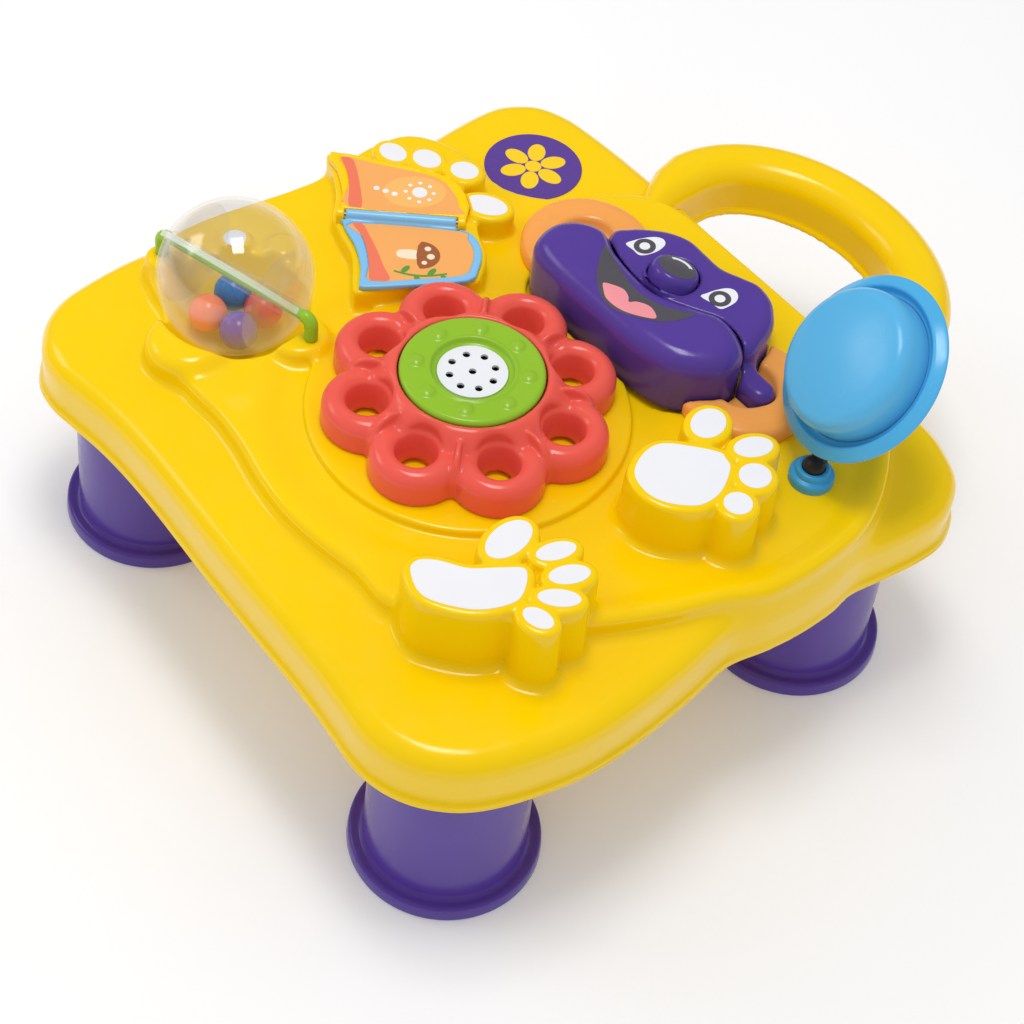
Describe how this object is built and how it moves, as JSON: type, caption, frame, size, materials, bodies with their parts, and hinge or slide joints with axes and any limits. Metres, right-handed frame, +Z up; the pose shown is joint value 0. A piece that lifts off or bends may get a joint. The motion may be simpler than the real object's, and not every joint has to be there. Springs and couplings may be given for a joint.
{
  "type": "musical activity table",
  "caption": "Low musical activity table for babies: a yellow deck on purple legs with a turning flower, bead globe, flip book, animal face, spring dish, print blocks and carry handle.",
  "frame": {"origin": "on the floor under the middle of the whole table, carry handle included", "axes": "+Z up, +Y towards the carry handle at the back, +X to the right of a child who sits at the front"},
  "size_m": [0.4326, 0.5116, 0.2656],
  "materials": {
    "yellow": "glossy",
    "purple": "glossy",
    "red": "glossy",
    "green": "glossy",
    "orange": "glossy",
    "blue": "glossy",
    "pale_blue": "glossy",
    "white_plastic": "glossy",
    "dark_plastic": "matt",
    "clear_plastic": "clear moulded plastic",
    "steel": "satin",
    "spring_steel": "dark",
    "white_film": "satin film",
    "card": "printed film",
    "grey_film": "satin film",
    "board": "satin",
    "cell_wrap": "glossy",
    "bead_red": "glossy",
    "bead_blue": "glossy",
    "bead_purple": "glossy"
  },
  "bodies": {
    "table": {"table_top": "yellow", "carry_handle": "yellow", "bottom_cover": "yellow", "leg_front_left": "purple", "leg_front_right": "purple", "leg_rear_left": "purple", "leg_rear_right": "purple", "cover_screws": "steel", "battery_door": "yellow", "battery_door_screw": "steel", "battery_cells": "cell_wrap", "battery_contacts": "steel", "switch_body": "dark_plastic", "circuit_board": "board", "muzzle_switch": "dark_plastic", "board_screws": "steel", "wheel_hub": "white_plastic", "hub_screws": "steel", "retaining_ring": "white_plastic", "button_spring": "steel", "speaker": "dark_plastic", "face_head": "purple", "face_screws": "steel", "muzzle_spring": "steel", "nose_spring": "steel", "nose_switch": "board", "left_ear": "orange", "right_ear": "orange", "eye_labels": "white_film", "globe_axle": "green", "book_leaf": "yellow", "leaf_card": "card", "book_hinge_pin": "steel", "dish_base": "blue", "hand_print_label": "white_film", "paw_print_label": "white_film", "toe_labels": "white_film", "round_badge": "purple"},
    "wheel": {"flower_wheel": "red"},
    "button": {"music_button": "green", "speaker_grille": "white_plastic"},
    "globe": {"globe_front_half": "clear_plastic", "globe_back_half": "clear_plastic", "orange_bead": "orange", "purple_bead": "bead_purple", "blue_bead": "bead_blue", "red_bead": "bead_red"},
    "page": {"page_frame": "pale_blue", "page_cards": "card"},
    "muzzle": {"face_muzzle": "purple", "smile_label": "grey_film", "muzzle_clip": "steel"},
    "nose": {"nose_button": "purple", "nose_label": "grey_film"},
    "dish_joint": {"dish_boot": "dark_plastic"},
    "dish": {"dish_spring": "spring_steel", "dish_rim": "blue", "dish_cap": "pale_blue"},
    "switch": {"switch_knob": "dark_plastic"}
  },
  "joints": [
    {"name": "wheel_spin", "type": "hinge", "parent": "table", "child": "wheel", "pos_m": [0.007, -0.08125, 0.171], "axis": [0, 0, 1], "continuous": true},
    {"name": "music_button_press", "type": "slide", "parent": "table", "child": "button", "axis": [0, 0, -1], "range_m": [0, 0.0025], "stiffness_N_per_m": 500, "springref_m": -0.0015, "deforming": ["button_spring"]},
    {"name": "globe_spin", "type": "hinge", "parent": "table", "child": "globe", "pos_m": [-0.133, -0.14425, 0.181], "axis": [0.9563, 0.2924, 0], "continuous": true},
    {"name": "page_flip", "type": "hinge", "parent": "table", "child": "page", "pos_m": [-0.14574, -0.05813, 0.1768], "axis": [-0.632, -0.7749, 0], "range_deg": [0, 178]},
    {"name": "muzzle_press", "type": "slide", "parent": "table", "child": "muzzle", "axis": [0, 0, -1], "range_m": [0, 0.003], "stiffness_N_per_m": 500, "springref_m": -0.0018, "deforming": ["muzzle_spring"]},
    {"name": "nose_press", "type": "slide", "parent": "table", "child": "nose", "axis": [0, -0.309, -0.9511], "range_m": [0, 0.003], "stiffness_N_per_m": 400, "springref_m": -0.001, "deforming": ["nose_spring"]},
    {"name": "dish_sway", "type": "hinge", "parent": "table", "child": "dish_joint", "pos_m": [0.155, 0.04575, 0.169], "axis": [0, 1, 0], "range_deg": [-10, 10], "stiffness_Nm_per_rad": 1.2},
    {"name": "dish_nod", "type": "hinge", "parent": "dish_joint", "child": "dish", "pos_m": [0.155, 0.04575, 0.169], "axis": [1, 0, 0], "range_deg": [-12, 12], "stiffness_Nm_per_rad": 1.2},
    {"name": "power_switch", "type": "slide", "parent": "table", "child": "switch", "axis": [0, 1, 0], "range_m": [0, 0.004]}
  ]
}
